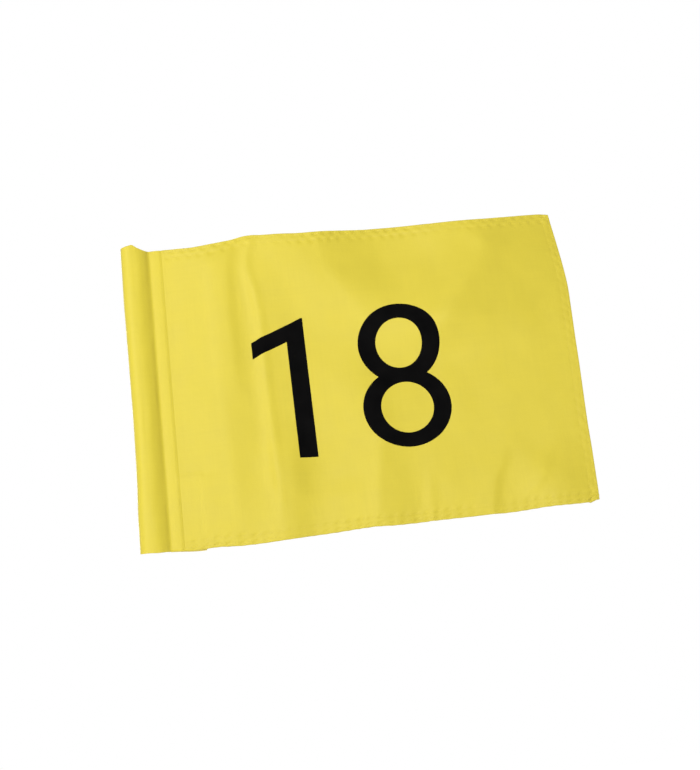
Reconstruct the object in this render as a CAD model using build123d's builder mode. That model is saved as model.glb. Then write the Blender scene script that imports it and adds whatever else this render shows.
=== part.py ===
from build123d import *
from math import acos, atan2, cos, degrees, hypot, radians, sin, tan
import os

# Tubed golf flag numbered eighteen: a nylon flag whose hoist edge is sewn into a sleeve round a
# plastic tube. The tube drops over a half-inch flagstick, and the flag turns on it.
# Millimetres. +Z runs up the stick, +X from the stick to the fly edge, and the front faces -Y.
# The origin is the centre of the stick's bore where its wall begins, just inside the lower mouth.
# The cloth lies in the XZ plane.

# Flag
FLAG_HEIGHT = 356.0             # 14 in
FLAG_LENGTH = 508.0             # 20 in, from the fold round the tube to the fly edge
PLY = 0.45                      # one ply of heavy nylon
HEM_PLIES = 3                   # a double-turned hem
HEM_WIDTH = 12.0
THREAD = 0.3
STITCH_WIDTH = 0.5
LAYER_GAP = 0.02                # air between two layers that lie on each other

# Tube and bushes
BORE_RADIUS = 6.6               # a 12.7 mm stick with 0.25 mm to spare all round
TUBE_RADIUS = 9.5               # 3/4 in tube
TUBE_WALL = 1.55
FLANGE = 2.0
SPIGOT = 14.0
MOUTH_CHAMFER = 0.6
FLANGE_ROUND = 0.5
SLEEVE_OVERHANG = 4.0           # the sleeve runs past the tube at each end

# Sleeve
SLEEVE_CLEARANCE = 0.3          # between the sleeve and the tube that turns in it
SEAM_X = 20.5                   # where the sleeve's two sides meet
SEAM_BEND_RADIUS = 4.0
INNER_ROW_X = 22.2
OUTER_ROW_X = 33.7
SLEEVE_END_X = 35.5
PANEL_START_X = 21.0            # the panel's hoist edge, between the sleeve's two sides
HEM_START_X = 36.5
TACK_X = 8.1                    # past the bore, in front of the tube's end face
TACK_RADIUS = 0.4
TACK_GAP = 0.8                  # between the tack and the bush

# Stitching
OUTER_HEM_ROW = 4.0             # in from the edge of the cloth
INNER_HEM_ROW = 10.5
ROW_END = 1.0                   # a row stops this far inside the cloth's edge

# Label on the back, caught under the outer seam row
LABEL_START_X = 30.5
LABEL_END_X = 58.5
LABEL_PLY = 0.25
LABEL_HEIGHT = 84.0
LABEL_DROP = 2.0                # it hangs this far below the flag's lower edge

# Numerals, measured across and up from the middle of the number
FILM = 0.12
NUMBER_X = 236.4
NUMBER_Z = 164.8
NUMBER_HEIGHT = 164.0
ONE_STEM_LEFT = -67.4
ONE_STEM_WIDTH = 20.5
ONE_TOP_WIDTH = 2.0
ONE_BEAK_REACH = 40.2           # how far the beak runs out past the stem
ONE_BEAK_DEPTH = 19.3
ONE_BEAK_SLOPE = 22.5           # degrees
EIGHT_X = 58.6
EIGHT_UPPER_Z = 38.6
EIGHT_LOWER_Z = -36.9
EIGHT_UPPER = (46.5, 46.2)      # half width and half height of each bowl and its eye
EIGHT_LOWER = (49.8, 46.2)
EIGHT_UPPER_EYE = (26.3, 28.5)
EIGHT_LOWER_EYE = (29.7, 29.7)

FOOT = -MOUTH_CHAMFER           # the lower bush's end face
FLAG_BOTTOM = FOOT - SLEEVE_OVERHANG
FLAG_TOP = FLAG_BOTTOM + FLAG_HEIGHT
HEAD = FLAG_TOP - SLEEVE_OVERHANG
TUBE_BORE_RADIUS = TUBE_RADIUS - TUBE_WALL
SLEEVE_INNER_RADIUS = TUBE_RADIUS + SLEEVE_CLEARANCE
SLEEVE_OUTER_RADIUS = SLEEVE_INNER_RADIUS + PLY
FLY_EDGE = FLAG_LENGTH - SLEEVE_OUTER_RADIUS
PANEL_FACE = PLY / 2
HEM_FACE = HEM_PLIES * PLY / 2
SIDE_INNER = PANEL_FACE + LAYER_GAP
SIDE_OUTER = SIDE_INNER + PLY
LABEL_FRONT = HEM_FACE + THREAD + 2 * LAYER_GAP
LABEL_BACK = LABEL_FRONT + LABEL_PLY
LABEL_BOTTOM = FLAG_BOTTOM - LABEL_DROP
LABEL_TOP = LABEL_BOTTOM + LABEL_HEIGHT


def box_between(left, right, bottom, top):
    """Draw a rectangle on an XZ sketch from its edges."""
    with Locations(((left + right) / 2, (bottom + top) / 2)):
        Rectangle(right - left, top - bottom)


def thread_row(left, right, bottom, top, face):
    """Add one straight row of stitching: thread on the front and on the back of cloth whose half
    thickness is face."""
    with BuildPart(mode=Mode.PRIVATE) as row:
        with BuildSketch(Plane.XZ.offset(face + LAYER_GAP)):
            box_between(left, right, bottom, top)
        extrude(amount=THREAD)
        mirror(about=Plane.XZ)
    return row.part


os.makedirs("parts", exist_ok=True)

# Tube: a plain length of pipe between the flanges of the two bushes.
with BuildPart() as tube_insert:
    with BuildSketch(Plane.XY.offset(FOOT + FLANGE)):
        Circle(TUBE_RADIUS)
        Circle(TUBE_BORE_RADIUS, mode=Mode.SUBTRACT)
    extrude(amount=HEAD - FOOT - 2 * FLANGE)
tube_insert.part.label = "tube_insert"
export_step(tube_insert.part, "parts/tube_insert.step")

# Bushes: pressed into the tube's ends, they bring its bore down to the stick.
with BuildPart() as lower_bush:
    with BuildSketch(Plane.XY.offset(FOOT)):
        Circle(TUBE_RADIUS)
    extrude(amount=FLANGE)
    fillet(lower_bush.edges().filter_by(GeomType.CIRCLE).sort_by(Axis.Z)[0], FLANGE_ROUND)
    with BuildSketch(Plane.XY.offset(FOOT + FLANGE)):
        Circle(TUBE_BORE_RADIUS)
    extrude(amount=SPIGOT)
    Hole(BORE_RADIUS)
    rims = lower_bush.edges().filter_by(GeomType.CIRCLE)
    chamfer(rims.filter_by(lambda rim: rim.radius < TUBE_BORE_RADIUS), MOUTH_CHAMFER)
lower_bush.part.label = "lower_bush"
export_step(lower_bush.part, "parts/lower_bush.step")

with BuildPart() as upper_bush:
    add(lower_bush.part)
    mirror(about=Plane.XY.offset((FOOT + HEAD) / 2), mode=Mode.REPLACE)
upper_bush.part.label = "upper_bush"
export_step(upper_bush.part, "parts/upper_bush.step")

# Sleeve: one strip of cloth from the back of the seam, round the tube and to the front of the seam.
loop_radius = SLEEVE_INNER_RADIUS + PLY / 2
side_middle = SIDE_INNER + PLY / 2
touch_angle = atan2(side_middle, SEAM_X) + acos(loop_radius / hypot(SEAM_X, side_middle))
touch = (loop_radius * cos(touch_angle), loop_radius * sin(touch_angle))
with BuildPart() as hoist_sleeve:
    with BuildSketch(Plane.XY.offset(FLAG_BOTTOM)):
        with BuildLine():
            back_side = FilletPolyline(
                (SLEEVE_END_X, side_middle), (SEAM_X, side_middle), touch, radius=SEAM_BEND_RADIUS
            )
            mirror(back_side, about=Plane.XZ)
            CenterArc((0, 0), loop_radius, degrees(touch_angle), 360 - 2 * degrees(touch_angle))
            offset(amount=PLY / 2, side=Side.BOTH, mode=Mode.REPLACE)
        make_face()
    extrude(amount=FLAG_HEIGHT)
hoist_sleeve.part.label = "hoist_sleeve"
export_step(hoist_sleeve.part, "parts/hoist_sleeve.step")

# Panel: one ply of cloth, with turned hems along its top, bottom and fly edges.
with BuildPart() as flag_panel:
    with BuildSketch(Plane.XZ):
        box_between(PANEL_START_X, FLY_EDGE, FLAG_BOTTOM, FLAG_TOP)
    extrude(amount=PANEL_FACE, both=True)
    with BuildSketch(Plane.XZ):
        box_between(HEM_START_X, FLY_EDGE, FLAG_BOTTOM, FLAG_BOTTOM + HEM_WIDTH)
        box_between(HEM_START_X, FLY_EDGE, FLAG_TOP - HEM_WIDTH, FLAG_TOP)
        box_between(FLY_EDGE - HEM_WIDTH, FLY_EDGE, FLAG_BOTTOM, FLAG_TOP)
    extrude(amount=HEM_FACE, both=True)
flag_panel.part.label = "flag_panel"
export_step(flag_panel.part, "parts/flag_panel.step")

# Label: a blank woven strip behind the lower hoist corner.
with BuildPart() as care_label:
    with BuildSketch(Plane.XZ.offset(-LABEL_FRONT)):
        box_between(LABEL_START_X, LABEL_END_X, LABEL_BOTTOM, LABEL_TOP)
    extrude(amount=-LABEL_PLY)
care_label.part.label = "care_label"
export_step(care_label.part, "parts/care_label.step")

# Seam rows: through the sleeve's two sides and the panel, beside the tube and at the sleeve's edge.
row_bottom = FLAG_BOTTOM + ROW_END
row_top = FLAG_TOP - ROW_END
with BuildPart() as inner_seam_stitching:
    add(thread_row(INNER_ROW_X, INNER_ROW_X + STITCH_WIDTH, row_bottom, row_top, SIDE_OUTER))
inner_seam_stitching.part.label = "inner_seam_stitching"
export_step(inner_seam_stitching.part, "parts/inner_seam_stitching.step")

# The outer row's back thread steps out to pass over the label.
outer_row = (OUTER_ROW_X, OUTER_ROW_X + STITCH_WIDTH)
with BuildPart() as outer_seam_stitching:
    with BuildSketch(Plane.XZ.offset(SIDE_OUTER + LAYER_GAP)):
        box_between(*outer_row, row_bottom, row_top)
    extrude(amount=THREAD)
    with BuildSketch(Plane.XZ.offset(-SIDE_OUTER - LAYER_GAP)):
        box_between(*outer_row, LABEL_TOP + ROW_END, row_top)
    extrude(amount=-THREAD)
    with BuildSketch(Plane.XZ.offset(-LABEL_BACK - LAYER_GAP)):
        box_between(*outer_row, row_bottom, LABEL_TOP - ROW_END)
    extrude(amount=-THREAD)
outer_seam_stitching.part.label = "outer_seam_stitching"
export_step(outer_seam_stitching.part, "parts/outer_seam_stitching.step")

# Hem rows: two along each hem. The long rows run up to the fly hem.
fly_hem_start = FLY_EDGE - HEM_WIDTH
for row_name, inset in (("outer", OUTER_HEM_ROW), ("inner", INNER_HEM_ROW)):
    near = inset - STITCH_WIDTH
    spans = {
        "top": (HEM_START_X, fly_hem_start, FLAG_TOP - inset, FLAG_TOP - near),
        "bottom": (HEM_START_X, fly_hem_start, FLAG_BOTTOM + near, FLAG_BOTTOM + inset),
        "fly": (FLY_EDGE - inset, FLY_EDGE - near, row_bottom, row_top),
    }
    for edge, span in spans.items():
        with BuildPart() as hem_row:
            add(thread_row(*span, HEM_FACE))
        hem_row.part.label = f"{edge}_hem_{row_name}_row"
        export_step(hem_row.part, f"parts/{hem_row.part.label}.step")

# Sleeve tacks: a bar of thread across each mouth of the sleeve, past the bore, so that the tube
# stays in and the stick goes through.
tack_heights = {"lower": FOOT - TACK_GAP - TACK_RADIUS, "upper": HEAD + TACK_GAP + TACK_RADIUS}
for end, height in tack_heights.items():
    with BuildPart() as sleeve_tack:
        with BuildSketch(Plane.XZ):
            with Locations((TACK_X, height)):
                Circle(TACK_RADIUS)
        extrude(amount=SLEEVE_INNER_RADIUS, both=True)
        with BuildSketch(Plane.XY.offset(height - TACK_RADIUS)):
            Circle(SLEEVE_INNER_RADIUS - LAYER_GAP)
        extrude(amount=2 * TACK_RADIUS, mode=Mode.INTERSECT)
    sleeve_tack.part.label = f"{end}_sleeve_tack"
    export_step(sleeve_tack.part, f"parts/{sleeve_tack.part.label}.step")

# Numerals: thin black films on the front of the panel, and the same shapes behind them.
stem_right = ONE_STEM_LEFT + ONE_STEM_WIDTH
shoulder_x = stem_right - ONE_TOP_WIDTH
beak_x = ONE_STEM_LEFT - ONE_BEAK_REACH
beak_rise = tan(radians(ONE_BEAK_SLOPE))
one_top = NUMBER_HEIGHT / 2
beak_top = one_top - (shoulder_x - beak_x) * beak_rise
beak_foot = beak_top - ONE_BEAK_DEPTH
with BuildSketch() as one_outline:
    with BuildLine():
        Polyline(
            (stem_right, -one_top),
            (stem_right, one_top),
            (shoulder_x, one_top),
            (beak_x, beak_top),
            (beak_x, beak_foot),
            (ONE_STEM_LEFT, beak_foot + ONE_BEAK_REACH * beak_rise),
            (ONE_STEM_LEFT, -one_top),
            close=True,
        )
    make_face()

with BuildSketch() as eight_outline:
    for middle, bowl in ((EIGHT_UPPER_Z, EIGHT_UPPER), (EIGHT_LOWER_Z, EIGHT_LOWER)):
        with Locations((EIGHT_X, middle)):
            Ellipse(*bowl)
    for middle, eye in ((EIGHT_UPPER_Z, EIGHT_UPPER_EYE), (EIGHT_LOWER_Z, EIGHT_LOWER_EYE)):
        with Locations((EIGHT_X, middle)):
            Ellipse(*eye, mode=Mode.SUBTRACT)

number_plane = Plane((NUMBER_X, 0, NUMBER_Z), x_dir=(1, 0, 0), z_dir=(0, -1, 0))
for figure, outline in (("one", one_outline), ("eight", eight_outline)):
    for face, side in (("front", 1), ("back", -1)):
        with BuildPart() as numeral:
            with BuildSketch(number_plane.offset(side * (PANEL_FACE + LAYER_GAP))):
                add(outline.sketch)
            extrude(amount=side * FILM)
        numeral.part.label = f"number_{figure}_{face}"
        export_step(numeral.part, f"parts/{numeral.part.label}.step")
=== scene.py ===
"""The looks of a tubed golf flag: creased nylon cloth, sewn hems and sleeve, black numerals.

Cloth shapes are worked out in millimetres and handed to Blender in metres. A place on the cloth
is (across, up): across is the frame's X, and up is the height above the flag's lower edge. The
front of the flag faces -Y.
"""

import math

import bmesh
import bpy
import numpy as np
from mathutils import Matrix, Vector


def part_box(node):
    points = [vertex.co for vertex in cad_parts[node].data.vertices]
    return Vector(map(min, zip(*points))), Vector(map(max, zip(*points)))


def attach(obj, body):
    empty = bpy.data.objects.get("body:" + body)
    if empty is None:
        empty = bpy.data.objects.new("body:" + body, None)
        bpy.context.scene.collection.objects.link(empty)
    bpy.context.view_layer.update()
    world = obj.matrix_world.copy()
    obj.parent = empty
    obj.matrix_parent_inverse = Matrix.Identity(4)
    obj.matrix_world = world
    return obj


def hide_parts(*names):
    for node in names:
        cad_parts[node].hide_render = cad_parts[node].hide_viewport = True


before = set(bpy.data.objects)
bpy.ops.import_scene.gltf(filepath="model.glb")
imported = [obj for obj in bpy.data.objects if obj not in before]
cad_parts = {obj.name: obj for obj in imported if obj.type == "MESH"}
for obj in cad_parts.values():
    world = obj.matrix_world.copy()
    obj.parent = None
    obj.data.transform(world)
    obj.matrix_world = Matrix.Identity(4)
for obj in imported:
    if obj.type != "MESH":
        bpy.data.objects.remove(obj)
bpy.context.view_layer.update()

MM = 0.001


def box_mm(node):
    """A CAD node's lowest and highest corners in millimetres."""
    return [np.array(corner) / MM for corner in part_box(node)]


# ---------------------------------------------------------------- sizes

panel_low, panel_high = box_mm("flag_panel")
sleeve_high = box_mm("hoist_sleeve")[1]
label_low, label_high = box_mm("care_label")

BOTTOM = panel_low[2]                   # height of the flag's lower edge in the frame
HEIGHT = panel_high[2] - panel_low[2]
PANEL_START = panel_low[0]
FLY = panel_high[0]
SEAM_END = sleeve_high[0]               # where the sleeve's two sides end on the panel

PLY = 0.45
HEM = 12.0
HEM_STEP = 2 * PLY                      # the two turned plies behind the cloth
HEM_SLOPE = 0.7                         # over this width the step runs out
OUTER_ROW = 4.0                         # the hems' rows of stitching, in from the edge
INNER_ROW = 10.5
SEAM_START = 21.5                       # where the sleeve's sides come together
LOOP_RADIUS = sleeve_high[1] - PLY / 2  # the middle of the cloth round the tube


# ---------------------------------------------------------------- curves and steps


def smooth_curve(points, at):
    """A smooth curve through (position, value) points, read at the given positions."""
    places, values = np.array(sorted(points), float).T
    slopes = np.gradient(values, places)
    at = np.clip(at, places[0], places[-1])
    i = np.clip(np.searchsorted(places, at) - 1, 0, len(places) - 2)
    span = places[i + 1] - places[i]
    t = (at - places[i]) / span
    return (
        (2 * t**3 - 3 * t**2 + 1) * values[i]
        + (t**3 - 2 * t**2 + t) * span * slopes[i]
        + (3 * t**2 - 2 * t**3) * values[i + 1]
        + (t**3 - t**2) * span * slopes[i + 1]
    )


def ease(value, start, end):
    """0 at start, 1 at end, and smooth between. End may be the lower of the two."""
    t = np.clip((value - start) / (end - start), 0, 1)
    return t**3 * (t * (6 * t - 15) + 10)


def ridge(distance, left, right):
    """1 on a fold's crest, falling away over its left and right widths."""
    return np.exp(-((distance / np.where(distance < 0, left, right)) ** 2))


def ticks(*spans):
    """Grid positions along (start, end, pitch) spans that follow each other."""
    parts = [
        np.linspace(start, end, max(2, round((end - start) / pitch) + 1))[:-1]
        for start, end, pitch in spans
    ]
    return np.append(np.concatenate(parts), spans[-1][1])


# ---------------------------------------------------------------- the shape of the cloth

# How far the cloth's upper and lower edges stand behind the sleeve's plane: (across, back).
UPPER_EDGE = [(22, 0), (90, -4), (160, -9), (240, -1), (330, 4), (420, 8), (498, 7)]
LOWER_EDGE = [(22, 0), (90, 2), (160, 5), (240, 2), (330, 3), (420, 1), (498, 0)]
# The fly edge isn't quite straight: (up, how far out it stands).
FLY_BOW = [
    (0, -8.0), (31, -6.6), (60, -5.1), (90, -4.2), (120, -2.6), (160, -0.3), (200, 1.6), (228, 3.2),
    (260, 4.9), (283, 4), (311, 1.8), (339, -0.3), (356, -1.3),
]
# The upper and lower edges wave up and down a little in the cloth's own plane: (across, rise).
UPPER_WAVE = [
    (40, 0.5), (57, -1.2), (72, -2.5), (90, -1.9), (108, -0.4), (118, 0.8), (130, 3.3), (141, 3.8),
    (153, 2.2), (177, 0.4), (195, -1.1), (215, -1.2), (240, -0.4), (300, 0.2), (335, -1.2),
    (357, -2.8), (393, -4.2), (417, -4.5), (441, -3.6), (465, -2.3), (480, -1.7), (498, -1.5),
]
LOWER_WAVE = [
    (30, 0), (50, -1), (69, -0.2), (93, -1.7), (117, -1.9), (150, -1.4), (170, 0.1), (200, 1),
    (237, 1.4), (262, 0.2), (285, 0.6), (321, 0.7), (350, 0.2), (400, 0), (430, 0.5), (465, -0.3),
    (498, 0.3),
]
WAVE_REACH = 70.0                       # how far into the cloth the waves are felt
BOW_START = 300.0                       # how far out the fly edge's bow is felt
CORNER_PULL = 2.6                       # the fly's corners are sewn round
CORNER_REACH = 7.0

# Each fold: its crest's path as (up, across), its widths to the left and right of the crest, how
# far it rises to the front, and the lengths over which it fades in at the path's lower end and
# fades out at its upper end.
FOLDS = {
    "swell beside the seam": ([(-70, 97), (150, 95), (356, 92)], 42, 33, 5.4, 150, 0),
    "its crest": ([(0, 97), (100, 94), (200, 91), (356, 90)], 7, 9, 0.55, 60, 40),
    "upper crease": ([(150, 106), (230, 106), (300, 106), (356, 112)], 18, 9, 2.3, 90, 30),
    "long thin ridge": (
        [(0, 140), (50, 143), (100, 143), (200, 141), (260, 141), (295, 136), (314, 132),
         (332, 134), (356, 142)],
        5.0, 6.5, 1.45, 50, 10,
    ),
    "its shoulder": ([(40, 144), (150, 142), (280, 141), (340, 137)], 10, 27, 3.3, 40, 60),
    "foot of the ridge": (
        [(-20, 140), (10, 147), (40, 151), (70, 156), (100, 158), (150, 152)],
        26, 23, 7.4, 0, 90,
    ),
    "hollow under the one": ([(30, 205), (60, 215), (95, 235), (130, 250)], 50, 30, -3.3, 40, 50),
    "middle swell": (
        [(-20, 256), (30, 258), (80, 256), (160, 250), (250, 240)], 46, 26, 4.2, 0, 110
    ),
    "its lower crest": ([(-10, 243), (30, 248), (70, 254), (115, 266)], 8, 10, 1.7, 20, 50),
    "low swell": ([(-40, 332), (40, 330), (110, 325)], 24, 34, 2.1, 0, 80),
    "low strip": ([(-10, 302), (30, 306), (70, 312)], 6, 8, 1.4, 15, 40),
    "upper hump": (
        [(190, 290), (255, 260), (290, 240), (305, 230), (330, 222), (356, 218)],
        60, 48, 9.0, 110, 0,
    ),
    "its edge": (
        [(220, 276), (255, 256), (290, 236), (305, 227), (330, 222), (356, 220)],
        9, 16, 0.55, 40, 0,
    ),
    "upper right swell": (
        [(170, 335), (205, 345), (240, 357), (270, 378), (290, 392), (310, 402), (356, 400)],
        72, 84, 17.0, 75, 0,
    ),
    "its brink": (
        [(205, 352), (220, 352), (240, 357), (270, 377), (290, 393), (310, 406), (356, 410)],
        12, 18, 2.0, 30, 40,
    ),
    "low notch": ([(-10, 372), (20, 376), (40, 381), (55, 390), (85, 404)], 24, 8, 2.4, 0, 45),
    "slanted patch": ([(10, 418), (40, 436), (75, 456)], 15, 9, 2.0, 20, 40),
    "lower corner": ([(-20, 456), (30, 452), (90, 440)], 30, 34, 6.4, 0, 80),
}


def folds(across, up):
    """The sum of the folds, towards the front."""
    rise = np.zeros_like(across)
    for path, left, right, height, fade_in, fade_out in FOLDS.values():
        shape = ridge(across - smooth_curve(path, up), left, right)
        if fade_in:
            shape = shape * ease(up, path[0][0], path[0][0] + fade_in)
        if fade_out:
            shape = shape * ease(up, path[-1][0], path[-1][0] - fade_out)
        rise += height * shape
    return rise


# The heights between which an edge's sway grows, as shares of the flag's height.
UPPER_SWAY = (0.45, 1.1)
LOWER_SWAY = (0.6, -0.17)


def edge_sway(across, up):
    """The slow lean of the cloth between its upper and lower edges, towards the back."""
    share = up / HEIGHT
    upper = ease(share, *UPPER_SWAY) / ease(1, *UPPER_SWAY)
    lower = ease(share, *LOWER_SWAY) / ease(0, *LOWER_SWAY)
    return smooth_curve(UPPER_EDGE, across) * upper + smooth_curve(LOWER_EDGE, across) * lower


# Many faint ripples, so that no stretch of the cloth is perfectly even: the size of each ripple,
# its direction and its phase come from one seeded draw.
chance = np.random.default_rng(18)
RIPPLES = [
    (chance.uniform(22, 70), chance.uniform(-0.9, 0.9), chance.uniform(0, 2 * math.pi))
    for _ in range(14)
]
RIPPLE_RISE = 0.00095                   # of each ripple's own length


def ripples(across, up):
    """Faint wrinkles all over the cloth."""
    rise = np.zeros_like(across)
    for length, lean, phase in RIPPLES:
        along = across * math.cos(lean) + up * math.sin(lean)
        rise += RIPPLE_RISE * length * np.sin(2 * math.pi * along / length + phase)
    return rise


PUCKER_PITCH = 12.6
PUCKER_DEPTH = 1.75
PUCKER_LEAN = 0.8                       # how far the lower hem's puckers lean over
NEAR_WIDTH, FAR_WIDTH = 2.6, 3.0        # of the row by the edge and of the row further in
FAR_DEPTH, FAR_SHIFT = 0.8, 2.6         # the far row is shallower, and shifted by a phase
FLY_DEPTH = 0.45                        # the fly hem's puckers are fainter


def dimples(along, away, first, second):
    """Two uneven rows of small hollows beside an edge, one row's between the other's: 0..1."""
    turn = 2 * math.pi / PUCKER_PITCH
    # Slow waves of unrelated lengths keep the hollows from being evenly spaced or equally deep.
    drift = 1.9 * np.sin(along / 37) + 1.3 * np.sin(along / 13.3 + 2) + 0.8 * np.sin(along / 6.1)
    swing = 0.6 + 0.4 * np.sin(along / 23 + 1) * np.sin(along / 61 + 2)
    near = (0.5 + 0.5 * np.cos(turn * (along + drift))) ** 2
    far = (0.5 + 0.5 * np.cos(turn * (along + drift) + FAR_SHIFT)) ** 2
    near_row = near * ridge(away - first, NEAR_WIDTH, NEAR_WIDTH)
    far_row = FAR_DEPTH * far * ridge(away - second, FAR_WIDTH, FAR_WIDTH)
    return swing * (near_row + far_row)


def puckers(across, up):
    """The small gathers that the hem stitching draws up along three edges."""
    clear_of_seam = ease(across, SEAM_END, SEAM_END + 8)
    top = dimples(across, HEIGHT - up, OUTER_ROW, INNER_ROW + 1)
    bottom = dimples(across - PUCKER_LEAN * up + 5, up, OUTER_ROW - 0.5, INNER_ROW)
    fly = FLY_DEPTH * dimples(up + 3, FLY - across, OUTER_ROW, INNER_ROW)
    return -PUCKER_DEPTH * ((top + bottom) * clear_of_seam + fly)


IMPRINT = 0.55
IMPRINT_SIDE = label_high[0] + 2.5      # the cloth rises past the label's side and falls slowly
IMPRINT_TOP = label_high[2] - BOTTOM - 1.0
IMPRINT_START = (30, 36)                # under the sleeve's edge it fades away


def label_imprint(across, up):
    """The low ridges that the edges of the label behind the cloth press into it."""
    side = ridge(across - IMPRINT_SIDE, 2.2, 12) * ease(up, IMPRINT_TOP + 1, IMPRINT_TOP - 4)
    top = ridge(up - IMPRINT_TOP, 9, 2.4) * ease(across, IMPRINT_SIDE + 2, IMPRINT_SIDE - 3)
    return IMPRINT * (side + top)


GROOVE = 0.03
GROOVE_WIDTH = 1.1
EDGE_ROLL = 0.7                         # the hems' edges roll back a little
ROLL_WIDTH = 2.2
LOOSE_FROM = 60.0                       # nearer the seam, the sleeve holds the cloth flat


def row_grooves(across, up):
    """The shallow groove that each row of hem stitching pulls into the cloth."""
    depth = np.zeros_like(across)
    for inset in (OUTER_ROW, INNER_ROW):
        for away in (up, HEIGHT - up, FLY - across):
            depth += ridge(away - inset, GROOVE_WIDTH, GROOVE_WIDTH)
    return GROOVE * depth * ease(across, SEAM_END, SEAM_END + 3)


def cloth(across, up):
    """Points of the middle of the cloth, in frame millimetres, as an array (..., 3)."""
    across, up = np.broadcast_arrays(np.asarray(across, float), np.asarray(up, float))
    loose = ease(across, PANEL_START, LOOSE_FROM)
    back = (edge_sway(across, up) - folds(across, up) - ripples(across, up)) * loose
    back -= puckers(across, up) + label_imprint(across, up) * ease(across, *IMPRINT_START)
    back += row_grooves(across, up)
    from_top, from_fly = HEIGHT - up, FLY - across
    back += EDGE_ROLL * (
        ease(up, ROLL_WIDTH, 0)
        + (ease(from_top, ROLL_WIDTH, 0) + ease(from_fly, ROLL_WIDTH, 0)) * loose
    )
    out = smooth_curve(FLY_BOW, up) * ease(across, BOW_START, FLY)
    rise = smooth_curve(UPPER_WAVE, across) * ease(from_top, WAVE_REACH, 0)
    rise += smooth_curve(LOWER_WAVE, across) * ease(up, WAVE_REACH, 0)
    corner = ridge(from_fly, CORNER_REACH, CORNER_REACH)
    rise += CORNER_PULL * corner * ridge(up, CORNER_REACH, CORNER_REACH)
    rise -= CORNER_PULL / 2 * corner * ridge(from_top, CORNER_REACH, CORNER_REACH)
    return np.stack([across + out, back, BOTTOM + up + rise], axis=-1)


NORMAL_STEP = 0.4


def back_normal(across, up):
    """Unit normals of the cloth, towards the back."""
    side = cloth(across + NORMAL_STEP, up) - cloth(across - NORMAL_STEP, up)
    rise = cloth(across, up + NORMAL_STEP) - cloth(across, up - NORMAL_STEP)
    normal = np.cross(rise, side)
    return normal / np.linalg.norm(normal, axis=-1, keepdims=True)


# ---------------------------------------------------------------- meshes


def new_object(name, points, faces, material, weave=None):
    """A smooth-shaded mesh object from millimetre points, with the weave's UV map."""
    mesh = bpy.data.meshes.new(name)
    mesh.from_pydata(np.asarray(points).reshape(-1, 3) * MM, [], faces)
    mesh.materials.append(material)
    mesh.polygons.foreach_set("use_smooth", [True] * len(mesh.polygons))
    if weave is not None:
        corners = np.empty(len(mesh.loops), int)
        mesh.loops.foreach_get("vertex_index", corners)
        layer = mesh.uv_layers.new(name="weave")
        layer.data.foreach_set("uv", np.asarray(weave).reshape(-1, 2)[corners].ravel())
    made = bpy.data.objects.new(name, mesh)
    bpy.context.scene.collection.objects.link(made)
    return made


def slab(name, front, back, weave, material):
    """A thin closed solid between two grids of points, its edges rounded out half its thickness."""
    rows, columns = front.shape[:2]
    count = rows * columns
    index = np.arange(count).reshape(rows, columns)
    quads = np.stack([index[:-1, :-1], index[1:, :-1], index[1:, 1:], index[:-1, 1:]], -1)
    quads = quads.reshape(-1, 4)
    rim = np.concatenate([index[0, :-1], index[:-1, -1], index[-1, :0:-1], index[:0:-1, 0]])
    middle = (front + back) / 2
    inner_row = np.clip(rim // columns, 1, rows - 2)
    inner_column = np.clip(rim % columns, 1, columns - 2)
    outward = middle.reshape(-1, 3)[rim] - middle[inner_row, inner_column]
    outward /= np.linalg.norm(outward, axis=1, keepdims=True)
    thick = np.linalg.norm((front - back).reshape(-1, 3)[rim], axis=1, keepdims=True)
    bulge = middle.reshape(-1, 3)[rim] + outward * thick / 2
    points = np.concatenate([front.reshape(-1, 3), back.reshape(-1, 3), bulge])
    faces = [tuple(q) for q in quads] + [tuple(q[::-1] + count) for q in quads]
    edge = np.arange(len(rim)) + 2 * count
    for here in range(len(rim)):
        there = (here + 1) % len(rim)
        faces.append((rim[here], rim[there], edge[there], edge[here]))
        faces.append((edge[here], edge[there], rim[there] + count, rim[here] + count))
    flat = weave.reshape(-1, 2)
    made = new_object(name, points, faces, material, np.concatenate([flat, flat, flat[rim]]))
    return face_outwards(made)


def face_outwards(made):
    """Makes a closed mesh's faces all point out."""
    work = bmesh.new()
    work.from_mesh(made.data)
    bmesh.ops.recalc_face_normals(work, faces=work.faces)
    work.to_mesh(made.data)
    work.free()
    return made


# ---------------------------------------------------------------- materials


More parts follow.
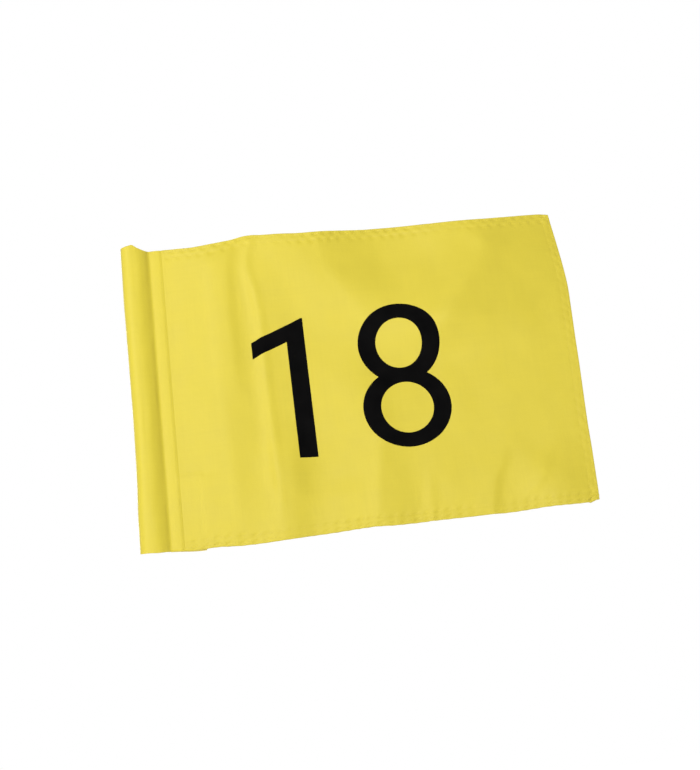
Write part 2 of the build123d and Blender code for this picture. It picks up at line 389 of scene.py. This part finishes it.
class Graph:
    """Adds nodes to a material and wires them up."""

    def __init__(self, name):
        self.material = bpy.data.materials.new(name)
        self.material.use_nodes = True
        self.nodes = self.material.node_tree.nodes
        self.links = self.material.node_tree.links
        self.shader = self.nodes["Principled BSDF"]

    def put(self, value, socket):
        """Links an output to an input, or sets the input to a constant."""
        if isinstance(value, bpy.types.NodeSocket):
            self.links.new(value, socket)
        else:
            socket.default_value = value

    def add(self, kind, inputs=(), output=0, **settings):
        """A node of one kind: its settings, its inputs by name or number, and one output."""
        node = self.nodes.new(kind)
        for name, value in settings.items():
            setattr(node, name, value)
        for key, value in dict(inputs).items():
            self.put(value, node.inputs[key])
        return node.outputs[output]

    def math(self, operation, *values):
        return self.add("ShaderNodeMath", enumerate(values), operation=operation)

    def noise(self, where, scale, detail=2.0, roughness=0.5):
        return self.add(
            "ShaderNodeTexNoise",
            {"Vector": where, "Scale": scale, "Detail": detail, "Roughness": roughness},
        )

    def between(self, value, low, high):
        """Maps 0..1 onto low..high."""
        return self.add(
            "ShaderNodeMapRange", {"Value": value, "To Min": low, "To Max": high}
        )

    def tint(self, factor, *stops):
        """A colour from a ramp of (position, colour) stops."""
        node = self.nodes.new("ShaderNodeValToRGB")
        ramp = node.color_ramp
        for i, (position, colour) in enumerate(stops):
            stop = ramp.elements[i] if i < 2 else ramp.elements.new(position)
            stop.position = position
            stop.color = (*colour, 1)
        self.put(factor, node.inputs[0])
        return node.outputs[0]

    def bump(self, height, distance, strength=1.0, under=None):
        inputs = {"Height": height, "Distance": distance, "Strength": strength}
        if under is not None:
            inputs["Normal"] = under
        return self.add("ShaderNodeBump", inputs)

    def finish(self, **values):
        """Sets the shader's sockets, each named with _ for a space."""
        for name, value in values.items():
            self.put(value, self.shader.inputs[name.replace("_", " ")])
        return self.material


def shade(colour, factor):
    return tuple(min(1.0, c * factor) for c in colour)


def weave_height(graph, pitch):
    """A plain weave's height, 0..1, over the weave UV map, which is in metres. Pitch is from one
    yarn to the next."""
    where = graph.add("ShaderNodeUVMap", uv_map="weave")
    parts = graph.nodes.new("ShaderNodeSeparateXYZ")
    graph.put(where, parts.inputs[0])
    turn = math.pi / pitch
    warp = graph.math("SINE", graph.math("MULTIPLY", parts.outputs[0], turn))
    weft = graph.math("SINE", graph.math("MULTIPLY", parts.outputs[1], turn))
    over = graph.math("MULTIPLY_ADD", graph.math("MULTIPLY", warp, weft), 0.5, 0.5)
    under = graph.math("SUBTRACT", 1.0, over)
    return graph.math(
        "ADD",
        graph.math("MULTIPLY", graph.math("ABSOLUTE", warp), over),
        graph.math("MULTIPLY", graph.math("ABSOLUTE", weft), under),
    )


def uneven_yarns(graph, thickness):
    """Slightly thicker and thinner yarns, both ways along the cloth, as a 0..1 value."""
    where = graph.add("ShaderNodeUVMap", uv_map="weave")
    runs = []
    for stretch in ((1 / thickness, 9.0, 1.0), (9.0, 1 / thickness, 1.0)):
        along = graph.add("ShaderNodeMapping", {"Vector": where, "Scale": stretch})
        runs.append(graph.noise(along, 1.0, 3.0, 0.6))
    return graph.math("MULTIPLY", graph.math("ADD", *runs), 0.5)


def nylon(name, yellow):
    """Yellow flag nylon: a fine plain weave, slightly uneven yarns, and a soft satin gloss."""
    graph = Graph(name)
    place = graph.add("ShaderNodeTexCoord", output=3)
    yarns = uneven_yarns(graph, 0.0016)
    patches = graph.noise(place, 38.0, 4.0)
    mix = graph.math("ADD", graph.math("MULTIPLY", yarns, 0.6), graph.math("MULTIPLY", patches, 0.4))
    colour = graph.tint(
        mix,
        (0.30, shade(yellow, 0.955)),
        (0.50, yellow),
        (0.70, shade(yellow, 1.04)),
    )
    creases = graph.noise(place, 160.0, 5.0, 0.55)
    soft = graph.bump(creases, 0.00035, 0.35)
    slubs = graph.bump(yarns, 0.0002, 0.3, under=soft)
    weave = graph.bump(weave_height(graph, 0.0005), 0.00006, 0.5, under=slubs)
    return graph.finish(
        Base_Color=colour,
        Roughness=graph.between(patches, 0.50, 0.62),
        Specular_IOR_Level=0.35,
        Sheen_Weight=0.12,
        Sheen_Roughness=0.45,
        Normal=weave,
    )


def thread():
    """Yellow polyester sewing thread, finely twisted, with painted highlight and shade along the
    twist.
    """
    graph = Graph("sewing_thread")
    place = graph.add("ShaderNodeTexCoord", output=3)
    twist = graph.add(
        "ShaderNodeTexWave",
        {"Vector": place, "Scale": 900.0, "Distortion": 1.5},
        output=1,
        wave_type="BANDS",
        bands_direction="DIAGONAL",
    )
    # The twist's bands are painted lighter and darker along with its bump: painted highlight and
    # painted shade.
    colour = graph.tint(twist, (0.1, shade(CLOTH_YELLOW, 0.96)), (0.9, shade(CLOTH_YELLOW, 1.1)))
    return graph.finish(
        Base_Color=colour,
        Roughness=0.42,
        Specular_IOR_Level=0.5,
        Sheen_Weight=0.1,
        Normal=graph.bump(twist, 0.00005, 0.6),
    )


def numeral_ink():
    """Matt black film with a fine grain."""
    graph = Graph("black_film")
    place = graph.add("ShaderNodeTexCoord", output=3)
    grain = graph.noise(place, 900.0, 3.0)
    cloud = graph.noise(place, 45.0, 3.0)
    colour = graph.tint(cloud, (0.3, (0.0009, 0.0009, 0.001)), (0.7, (0.0022, 0.0021, 0.0021)))
    return graph.finish(
        Base_Color=colour,
        Roughness=graph.between(grain, 0.72, 0.86),
        Specular_IOR_Level=0.03,
        Normal=graph.bump(grain, 0.00003, 0.35),
    )


def label_satin():
    """Yellow satin ribbon: fine cross ribs and a soft shine."""
    graph = Graph("label_satin")
    place = graph.add("ShaderNodeTexCoord", output=3)
    where = graph.add("ShaderNodeUVMap", uv_map="weave")
    ribs = graph.add(
        "ShaderNodeTexWave",
        {"Vector": where, "Scale": 420.0, "Distortion": 0.6, "Detail": 2.0},
        output=1,
        bands_direction="Y",
    )
    cloud = graph.noise(place, 60.0, 3.0)
    colour = graph.tint(cloud, (0.3, (0.47, 0.375, 0.045)), (0.7, (0.53, 0.43, 0.06)))
    return graph.finish(
        Base_Color=colour,
        Roughness=graph.between(ribs, 0.34, 0.5),
        Specular_IOR_Level=0.45,
        Sheen_Weight=0.15,
        Normal=graph.bump(ribs, 0.00004, 0.6),
    )


def plastic(name, colour, rough, grain_scale, grain_depth):
    """Moulded or extruded white plastic with a fine skin and faint scuffs."""
    graph = Graph(name)
    place = graph.add("ShaderNodeTexCoord", output=3)
    grain = graph.noise(place, grain_scale, 3.0)
    scuffs = graph.noise(
        graph.add("ShaderNodeMapping", {"Vector": place, "Scale": (900.0, 900.0, 40.0)}), 1.0, 4.0
    )
    cloud = graph.noise(place, 70.0, 3.0)
    tint = graph.tint(cloud, (0.35, shade(colour, 0.95)), (0.65, colour))
    return graph.finish(
        Base_Color=tint,
        Roughness=graph.between(scuffs, rough - 0.07, rough + 0.09),
        Specular_IOR_Level=0.5,
        Normal=graph.bump(grain, grain_depth, 0.4),
    )


CLOTH_YELLOW = (0.453, 0.374, 0.0245)
NYLON = nylon("yellow_nylon", CLOTH_YELLOW)
# The sleeve's cloth is the same nylon with its colour painted 4 % lighter: painted light on the
# sleeve.
SLEEVE_NYLON_PAINTED_LIGHTER = nylon("sleeve_nylon_painted_lighter", shade(CLOTH_YELLOW, 1.04))
THREAD = thread()
INK = numeral_ink()
SATIN = label_satin()
TUBE_PLASTIC = plastic("tube_plastic", (0.72, 0.72, 0.70), 0.46, 500.0, 0.00004)
BUSH_PLASTIC = plastic("bush_plastic", (0.76, 0.76, 0.75), 0.28, 900.0, 0.00002)


# ---------------------------------------------------------------- the flag

EDGE_ROUND = 1.5 * PLY                  # half a hem's thickness
HEM_START = SEAM_END + 1                # the long hems begin past the sleeve's end
COARSE, FINE, FINEST = 2.3, 0.6, 0.35   # the grid's pitch on the cloth, in the hems, at a step


def hem_cover(across, up):
    """How many turned hems lie behind the cloth: 0, 1, or 2 in the fly's corners."""
    start = ease(across, HEM_START, HEM_START + 0.5)
    top = ease(up, HEIGHT - HEM - HEM_SLOPE, HEIGHT - HEM) * start
    bottom = ease(up, HEM + HEM_SLOPE, HEM) * start
    fly = ease(across, FLY - HEM - HEM_SLOPE, FLY - HEM)
    return top + bottom + fly


def back_face(across, up):
    """How far the cloth's back face stands from its middle."""
    return PLY / 2 + HEM_STEP * hem_cover(across, up)


across_ticks = ticks(
    (PANEL_START, HEM_START - 0.1, 1.5),
    (HEM_START - 0.1, HEM_START + 0.6, FINEST),
    (HEM_START + 0.6, FLY - HEM - 1.0, COARSE),
    (FLY - HEM - 1.0, FLY - HEM, FINEST),
    (FLY - HEM, FLY - EDGE_ROUND, FINE),
)
up_ticks = ticks(
    (EDGE_ROUND, HEM, FINE),
    (HEM, HEM + 1.0, FINEST),
    (HEM + 1.0, HEIGHT - HEM - 1.0, COARSE),
    (HEIGHT - HEM - 1.0, HEIGHT - HEM, FINEST),
    (HEIGHT - HEM, HEIGHT - EDGE_ROUND, FINE),
)
across, up = np.meshgrid(across_ticks, up_ticks)
middle, normal = cloth(across, up), back_normal(across, up)
flag_cloth = slab(
    "flag_cloth",
    middle - normal * PLY / 2,
    middle + normal * back_face(across, up)[..., None],
    np.stack([across, up], -1) * MM,
    NYLON,
)
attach(flag_cloth, "flag")
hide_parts("flag_panel")


# ---------------------------------------------------------------- the sleeve

LAYER_GAP = 0.02
SIDE_MIDDLE = PLY + LAYER_GAP           # the sleeve's sides, from the panel's middle
SIDE_OUTER = 1.5 * PLY + LAYER_GAP
SLEEVE_PITCH = 1.0
OUTER_SEAM_X = 33.9                     # the seam's two rows of stitching
INNER_SEAM_X = 22.5
# The sleeve's front, from the seam over the tube to the fold: (across, forward). The cloth stands
# off the tube on the seam's side.
FRONT_ARCH = [
    (21.8, 0.5), (20.2, 1.3), (18, 3.0), (15, 5.3), (11.5, 7.4), (8, 8.9), (4.5, 9.8), (1, 10.15),
]
# How far the sleeve's sides puff up between their two rows of stitching: (across, rise).
SEAM_PUFF = [(20.5, 0), (22.5, 0.1), (25, 0.33), (28, 0.5), (31, 0.42), (34, 0.15), (35.5, 0)]
# How far the sleeve's mouths stand above the flag's edges, by the place round the sleeve: from the
# fold, minus towards the front of the seam and plus towards the back.
UPPER_MOUTH = [
    (-56, 0), (-40, 0), (-34, 0), (-28, 1.6), (-24, 3.4), (-19.5, 6.4), (-15, 5.6), (-9, 5.2),
    (0, 6.5), (12, 5), (26, 2.5), (40, 0.5), (56, 0),
]
LOWER_MOUTH = [
    (-56, 0), (-50, 0), (-44, 0.6), (-38, 0.6), (-32, 0), (-24, -0.7), (-16, -0.2), (-9, 0.4),
    (0, 2), (6, 3.7), (16, 4.1), (28, 3.9), (40, 0.9), (56, 0),
]
MOUTH_REACH = 60.0                      # how far into the sleeve that is felt
# How far the fold leans out from the tube, minus away from the flag: (up, across).
FLARE = [(0, -1.4), (40, -1.2), (75, 0), (230, 0), (290, -0.6), (356, -0.3)]
LIFT = 0.05                             # the whole sleeve stands this far off the layers under it
SLACK = 0.25                            # and this much more off the tube, beside the seam
SNUG = 0.35                             # the share of that slack elsewhere round the tube
TAIL_SINK = 0.25                        # the sleeve's cut edges thin out and lie flat
TAIL_THINNING = 0.4


def seam_puff(across):
    """The rise of the sleeve's sides between their two rows of stitching."""
    return smooth_curve(SEAM_PUFF, across)


def sleeve_path():
    """The sleeve's section from the front of the seam, round the tube and to the back of the
    seam, as evenly spaced (x, y) points, and each point's place along it."""
    tail_x = np.linspace(SEAM_END, FRONT_ARCH[0][0] + 1, 12)
    tail = np.stack([tail_x, np.full_like(tail_x, -SIDE_MIDDLE)], 1)
    span = np.linspace(0, len(FRONT_ARCH) - 1, 60)
    arch_x, arch_forward = (
        smooth_curve(list(enumerate(values)), span) for values in zip(*FRONT_ARCH)
    )
    arch = np.stack([arch_x, -arch_forward], 1)
    start = math.atan2(-FRONT_ARCH[-1][1], FRONT_ARCH[-1][0])
    radius = math.hypot(*FRONT_ARCH[-1])
    angles = np.linspace(start, -math.pi, 40)[1:]
    radii = radius + (LOOP_RADIUS - radius) * ease(np.linspace(0, 1, 40), 0, 0.6)[1:]
    loop = np.stack([radii * np.cos(angles), radii * np.sin(angles)], 1)
    front = np.concatenate([tail, arch, loop])
    whole = np.concatenate([front, (front * [1, -1])[-2::-1]])
    run = np.insert(np.cumsum(np.linalg.norm(np.diff(whole, axis=0), axis=1)), 0, 0)
    at = np.linspace(0, run[-1], round(run[-1] / SLEEVE_PITCH) + 1)
    return np.stack([np.interp(at, run, whole[:, 0]), np.interp(at, run, whole[:, 1])], 1), at


section, run_ticks = sleeve_path()
slope = np.gradient(section, run_ticks, axis=0)
slope /= np.linalg.norm(slope, axis=1, keepdims=True)
sleeve_up = ticks((PLY / 2, 8, 0.8), (8, HEIGHT - 8, 2.6), (HEIGHT - 8, HEIGHT - PLY / 2, 0.8))
run, height = np.meshgrid(run_ticks, sleeve_up)
section_x, section_y, outward_x, outward_y = (
    np.broadcast_to(values, run.shape)
    for values in (section[:, 0], section[:, 1], -slope[:, 1], slope[:, 0])
)

# The sides lie on the panel past the seam. Round the tube the cloth has faint slack wrinkles: long
# and short waves, the shortest near the sleeve's mouths.
on_panel = ease(section_x, SEAM_START - 5, SEAM_START)
thin_tail = ease(section_x, OUTER_SEAM_X - 1.5, SEAM_END)
wrinkles = (
    0.16 * np.sin(height / 9.5 + 1.3 * np.sin(height / 41) + run / 7)
    + 0.22 * np.sin(height / 31 + run / 15 + 1)
    + 0.12 * np.sin(height / 5.3 + run / 4) * ease(np.abs(height - HEIGHT / 2), 120, 178)
)
looseness = np.where(section_x > 3, ease(section_x, 3, 12) * (1 - on_panel), SNUG)
stand_off = (SLACK + wrinkles) * looseness * (1 - on_panel)
sleeve_rise = seam_puff(section_x) - TAIL_SINK * thin_tail + LIFT + stand_off
round_fold = run - run_ticks[-1] / 2
mouth_rise = smooth_curve(UPPER_MOUTH, round_fold) * ease(height, HEIGHT - MOUTH_REACH, HEIGHT)
mouth_rise += smooth_curve(LOWER_MOUTH, round_fold) * ease(height, MOUTH_REACH, 0)
flare = smooth_curve(FLARE, height) * ease(section_x, 8, -8)
sleeve_middle = np.stack(
    [
        section_x + outward_x * sleeve_rise + flare,
        section_y + outward_y * sleeve_rise + cloth(section_x, height)[..., 1] * on_panel,
        BOTTOM + height + mouth_rise,
    ],
    -1,
)
sleeve_out = np.stack([outward_x, outward_y, np.zeros_like(outward_x)], -1)
sleeve_cloth = slab(
    "sleeve_cloth",
    sleeve_middle - sleeve_out * PLY / 2,
    sleeve_middle + sleeve_out * PLY * (0.5 - TAIL_THINNING * thin_tail[..., None]),
    np.stack([run, height], -1) * MM,
    SLEEVE_NYLON_PAINTED_LIGHTER,
)
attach(sleeve_cloth, "flag")
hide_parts("hoist_sleeve")


# ---------------------------------------------------------------- the label

LABEL_PLY = 0.25
LABEL_BOTTOM = label_low[2] - BOTTOM
LABEL_TOP = label_high[2] - BOTTOM
LABEL_CLEAR = 0.3                       # over the hem's stitches
LABEL_SLANT = [(26, 2.2), (45, 1.8), (60, 1.2)]  # its lower edge is sewn in a little askew
SLANT_REACH = 30.0
LABEL_CURL = 1.4                        # its free side curls off the cloth
CURL_WIDTH = 16.0


def label_stand(across, up):
    """How far the label's middle stands behind the cloth's middle."""
    side = SIDE_OUTER + LAYER_GAP + LABEL_PLY / 2
    hem = PLY / 2 + HEM_STEP + LABEL_CLEAR + LABEL_PLY / 2
    loose = PLY / 2 + 0.5 + 0.5 * np.sin(up / 17 + across / 13) ** 2
    over_hem = hem + (loose - hem) * ease(up, HEM, HEM + 14)
    free_side = ease(across, label_high[0] - CURL_WIDTH, label_high[0])
    curl = LABEL_CURL * free_side * ease(up, 20, LABEL_TOP)
    return side + (over_hem + curl - side) * ease(across, SEAM_END - 0.5, SEAM_END + 5)


label_across, label_up = np.meshgrid(
    ticks((label_low[0], label_high[0], 1.0)), ticks((LABEL_BOTTOM, LABEL_TOP, 1.2))
)
label_middle = cloth(label_across, label_up)
label_middle[..., 2] += smooth_curve(LABEL_SLANT, label_across) * ease(label_up, SLANT_REACH, 0)
label_normal = back_normal(label_across, label_up)
label_middle = label_middle + label_normal * label_stand(label_across, label_up)[..., None]
label = slab(
    "label",
    label_middle - label_normal * LABEL_PLY / 2,
    label_middle + label_normal * LABEL_PLY / 2,
    np.stack([label_across, label_up], -1) * MM,
    SATIN,
)
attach(label, "flag")
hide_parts("care_label")


# ---------------------------------------------------------------- the stitches

ROW_PITCH = 3.6                         # one stitch and its gap
STITCH = 2.7
STITCH_POINTS = 6                       # rings of points along one stitch
THREAD_RADIUS = 0.15
THREAD_SIDES = 6
THREAD_END = 0.6                        # the thread's radius at a stitch's ends, as a share
STITCH_DIP = 0.13                       # its ends sink into the cloth
STITCH_ARCH = 0.18                      # and its middle rises above them
TANGENT_STEP = 0.4


def thread_faces(first, points, sides):
    """The faces of a closed thread: rings of points, starting at index first, and two end caps."""
    faces = []
    for here in range(points - 1):
        low, high = first + here * sides, first + (here + 1) * sides
        for i in range(sides):
            j = (i + 1) % sides
            faces.append((low + i, low + j, high + j, high + i))
    last = first + (points - 1) * sides
    faces.append(tuple(first + i for i in range(sides)))
    faces.append(tuple(last + i for i in range(sides)))
    return faces


def stitch_row(name, start, end, sides):
    """One row of separate stitches from start to end, both (across, up) on the cloth. Each of the
    sides is (side, stand): side -1 for the front or 1 for the back, and how far the cloth's face
    stands from its middle there, as a function of across and up."""
    start, end = np.array(start, float), np.array(end, float)
    length = np.linalg.norm(end - start)
    along = (end - start) / length
    cross = np.array([-along[1], along[0]]) * TANGENT_STEP
    count = int(length / ROW_PITCH)
    begin = (np.arange(count)[:, None] + 0.5) * length / count - STITCH / 2
    t = np.linspace(0, 1, STITCH_POINTS)
    arch = np.sin(math.pi * t)
    reach = begin + t * STITCH
    across, up = (start[axis] + along[axis] * reach for axis in (0, 1))
    radius = THREAD_RADIUS * (THREAD_END + (1 - THREAD_END) * np.sqrt(arch.clip(0)))[:, None, None]
    angle = np.arange(THREAD_SIDES) * 2 * math.pi / THREAD_SIDES
    points, faces = [], []
    for side, stand in sides:
        normal = back_normal(across, up) * side
        base = cloth(across, up) + normal * stand(across, up)[..., None]
        centre = base + normal * (STITCH_ARCH * arch - STITCH_DIP)[:, None]
        beside = cloth(across + cross[0], up + cross[1]) - cloth(across - cross[0], up - cross[1])
        beside /= np.linalg.norm(beside, axis=-1, keepdims=True)
        ring = centre[:, :, None] + radius * (
            np.cos(angle)[:, None] * normal[:, :, None] + np.sin(angle)[:, None] * beside[:, :, None]
        )
        first = sum(len(p) for p in points)
        points.append(ring.reshape(-1, 3))
        for stitch in range(count):
            corner = first + stitch * STITCH_POINTS * THREAD_SIDES
            faces += thread_faces(corner, STITCH_POINTS, THREAD_SIDES)
    row = face_outwards(new_object(name, np.concatenate(points), faces, THREAD))
    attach(row, "flag")
    return row


def front_of_cloth(across, up):
    return np.full_like(across, PLY / 2)


def outside_of_sleeve(across, up):
    return SIDE_OUTER + seam_puff(across)


def behind_label(across, up):
    """The sleeve's back side, or the label's back where it lies there."""
    label_back = label_stand(across, up) + LABEL_PLY / 2
    return np.where(up < LABEL_TOP, label_back, SIDE_OUTER)


ROW_END = 1.0                           # a row stops this far inside the cloth's edge
STITCH_WIDTH = 0.5                      # of the CAD's rows
thread_rows = {}
for node, x, back in (
    ("inner_seam_stitching", INNER_SEAM_X, outside_of_sleeve),
    ("outer_seam_stitching", OUTER_SEAM_X, behind_label),
):
    ends = (x, ROW_END), (x, HEIGHT - ROW_END)
    thread_rows[node] = stitch_row(node + "_thread", *ends, ((-1, outside_of_sleeve), (1, back)))
for name, row_inset in (("outer", OUTER_ROW), ("inner", INNER_ROW)):
    inset = row_inset - STITCH_WIDTH / 2
    for edge, start, end in (
        ("top", (HEM_START, HEIGHT - inset), (FLY - HEM, HEIGHT - inset)),
        ("bottom", (HEM_START, inset), (FLY - HEM, inset)),
        ("fly", (FLY - inset, ROW_END), (FLY - inset, HEIGHT - ROW_END)),
    ):
        node = f"{edge}_hem_{name}_row"
        thread_rows[node] = stitch_row(
            node + "_thread", start, end, ((-1, front_of_cloth), (1, back_face))
        )
for node, row in thread_rows.items():
    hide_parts(node)


# ---------------------------------------------------------------- the sleeve tacks

STRANDS = 3
STRAND_RADIUS = 0.2
STRAND_POINTS = 60
STRAND_SIDES = 8
TWIST = 1.6                             # radians per millimetre


def twisted_strand(low, high, phase):
    """The rings of one strand of a tack, which lies along Y inside the box from low to high."""
    y = np.linspace(low[1], high[1], STRAND_POINTS)[:, None]
    turn = y * TWIST + phase
    around = np.arange(STRAND_SIDES) * 2 * math.pi / STRAND_SIDES
    x = (low[0] + high[0]) / 2 + STRAND_RADIUS * (np.cos(turn) + np.cos(around))
    z = (low[2] + high[2]) / 2 + STRAND_RADIUS * (np.sin(turn) + np.sin(around))
    return np.stack([x, np.broadcast_to(y, x.shape), z], -1).reshape(-1, 3)


for end in ("lower", "upper"):
    tack_low, tack_high = box_mm(f"{end}_sleeve_tack")
    strands, faces = [], []
    for i in range(STRANDS):
        strands.append(twisted_strand(tack_low, tack_high, i * 2 * math.pi / STRANDS))
        faces += thread_faces(i * STRAND_POINTS * STRAND_SIDES, STRAND_POINTS, STRAND_SIDES)
    tack = face_outwards(new_object(f"{end}_tack_thread", np.concatenate(strands), faces, THREAD))
    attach(tack, "flag")
    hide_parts(f"{end}_sleeve_tack")


# ---------------------------------------------------------------- the numerals

CUT_PITCH = 3.0


def drape_numeral(node, name):
    """A copy of a flat CAD numeral, cut finely and laid on the cloth."""
    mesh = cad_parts[node].data.copy()
    work = bmesh.new()
    work.from_mesh(mesh)
    bmesh.ops.remove_doubles(work, verts=work.verts, dist=1e-6)
    low, high = box_mm(node)
    for axis in (0, 2):
        for cut in np.arange(low[axis] + CUT_PITCH, high[axis], CUT_PITCH):
            point, direction = Vector((0, 0, 0)), Vector((0, 0, 0))
            point[axis], direction[axis] = cut * MM, 1
            geometry = work.verts[:] + work.edges[:] + work.faces[:]
            bmesh.ops.bisect_plane(work, geom=geometry, plane_co=point, plane_no=direction)
    flat = np.array([v.co for v in work.verts]) / MM
    across, up = flat[:, 0], flat[:, 2] - BOTTOM
    laid = cloth(across, up) + back_normal(across, up) * flat[:, 1:2]
    for vertex, place in zip(work.verts, laid * MM):
        vertex.co = place
    work.to_mesh(mesh)
    work.free()
    mesh.materials.clear()
    mesh.materials.append(INK)
    mesh.polygons.foreach_set("use_smooth", [True] * len(mesh.polygons))
    mesh.set_sharp_from_angle(angle=math.radians(40))
    numeral = bpy.data.objects.new(name, mesh)
    bpy.context.scene.collection.objects.link(numeral)
    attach(numeral, "flag")
    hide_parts(node)
    return numeral


numerals = [
    drape_numeral(f"number_{figure}_{face}", f"{figure}_{face}")
    for figure in ("one", "eight")
    for face in ("front", "back")
]


# ---------------------------------------------------------------- the tube and its bushes

for node, material in (
    ("tube_insert", TUBE_PLASTIC),
    ("lower_bush", BUSH_PLASTIC),
    ("upper_bush", BUSH_PLASTIC),
):
    for material_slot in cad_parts[node].material_slots:
        material_slot.material = material


# ---------------------------------------------------------------- floor, lights and camera

# Metres, like Blender.
FLOOR_HEIGHT = -0.42
FLOOR_REACH = 14.0
# Far out, the floor glows a little, so that it meets the white background without a grey band.
GLOW_START, GLOW_END, GLOW = 0.8, 4.5, 0.62
AMBIENT = 0.48

floor_mesh = bpy.data.meshes.new("floor")
corners = [(x * FLOOR_REACH, y * FLOOR_REACH) for x, y in ((-1, -1), (1, -1), (1, 1), (-1, 1))]
floor_mesh.from_pydata([(x, y, FLOOR_HEIGHT) for x, y in corners], [], [(0, 1, 2, 3)])
floor = bpy.data.objects.new("floor", floor_mesh)
bpy.context.scene.collection.objects.link(floor)
floor_graph = Graph("pale_floor")
floor_place = floor_graph.add("ShaderNodeTexCoord", output=3)
outwards = floor_graph.add("ShaderNodeVectorMath", {0: floor_place}, output=1, operation="LENGTH")
floor_mesh.materials.append(
    floor_graph.finish(
        Base_Color=(0.93, 0.93, 0.93, 1),
        Roughness=0.9,
        Specular_IOR_Level=0.1,
        Emission_Color=(1, 1, 1, 1),
        Emission_Strength=floor_graph.add(
            "ShaderNodeMapRange",
            {"Value": outwards, "From Min": GLOW_START, "From Max": GLOW_END, "To Max": GLOW},
            interpolation_type="SMOOTHSTEP",
        ),
    )
)
# Seen from below, the floor isn't there, so that it doesn't hide the flag.
floor_mix = floor_graph.nodes.new("ShaderNodeMixShader")
floor_graph.put(floor_graph.add("ShaderNodeNewGeometry", output="Backfacing"), floor_mix.inputs[0])
floor_graph.put(floor_graph.shader.outputs[0], floor_mix.inputs[1])
floor_graph.put(floor_graph.add("ShaderNodeBsdfTransparent"), floor_mix.inputs[2])
floor_graph.put(floor_mix.outputs[0], floor_graph.nodes["Material Output"].inputs["Surface"])

# The background is pure white to the camera and gives only a part of that as light.
world = bpy.data.worlds.new("studio")
bpy.context.scene.world = world
world.use_nodes = True
world_nodes, world_links = world.node_tree.nodes, world.node_tree.links
background = world_nodes["Background"]
background.inputs["Color"].default_value = (1, 1, 1, 1)
seen = world_nodes.new("ShaderNodeMapRange")
seen.inputs["To Min"].default_value = AMBIENT
seen.inputs["To Max"].default_value = 1.0
world_links.new(world_nodes.new("ShaderNodeLightPath").outputs["Is Camera Ray"], seen.inputs[0])
world_links.new(seen.outputs[0], background.inputs["Strength"])
bpy.context.scene.view_settings.view_transform = "Standard"

flag_middle = Vector((FLY / 2, 0, BOTTOM + HEIGHT / 2)) * MM


def soft_light(name, direction, distance, size, power):
    """A square soft light that faces the middle of the flag from the given direction."""
    light = bpy.data.lights.new(name, "AREA")
    light.size = size
    light.energy = power
    light.color = (1.0, 0.985, 0.97)
    made = bpy.data.objects.new(name, light)
    bpy.context.scene.collection.objects.link(made)
    away = Vector(direction).normalized()
    made.location = flag_middle + away * distance
    made.rotation_euler = (-away).to_track_quat("-Z", "Y").to_euler()


soft_light("left", (-0.6, -0.75, 0.32), distance=2.6, size=1.0, power=38.0)
soft_light("front", (-0.1, -1.0, 0.05), distance=2.7, size=0.9, power=31.0)
soft_light("back", (-0.35, 1.0, 0.3), distance=3.2, size=1.4, power=80.0)
soft_light("right", (1.0, 0.5, 0.2), distance=3.2, size=1.0, power=38.0)
soft_light("overhead", (0.0, 0.25, 1.0), distance=3.0, size=2.4, power=24.0)

CAMERA_PLACE = Vector((149.0, -1250.3, -265.4)) * MM
CAMERA_YAW, CAMERA_PITCH, CAMERA_ROLL = 3.9, 18.8, -7.6  # degrees: to the right, up, roll
FOCAL_LENGTH, SENSOR_WIDTH = 55.0, 36.0
lens = bpy.data.cameras.new("camera")
lens.lens, lens.sensor_width = FOCAL_LENGTH, SENSOR_WIDTH
camera = bpy.data.objects.new("camera", lens)
bpy.context.scene.collection.objects.link(camera)
bpy.context.scene.camera = camera
camera.location = CAMERA_PLACE
yaw, pitch, roll = (math.radians(a) for a in (CAMERA_YAW, CAMERA_PITCH, CAMERA_ROLL))
camera.rotation_euler = (
    Matrix.Rotation(-yaw, 3, "Z") @ Matrix.Rotation(math.pi / 2 + pitch, 3, "X")
    @ Matrix.Rotation(roll, 3, "Z")
).to_euler()
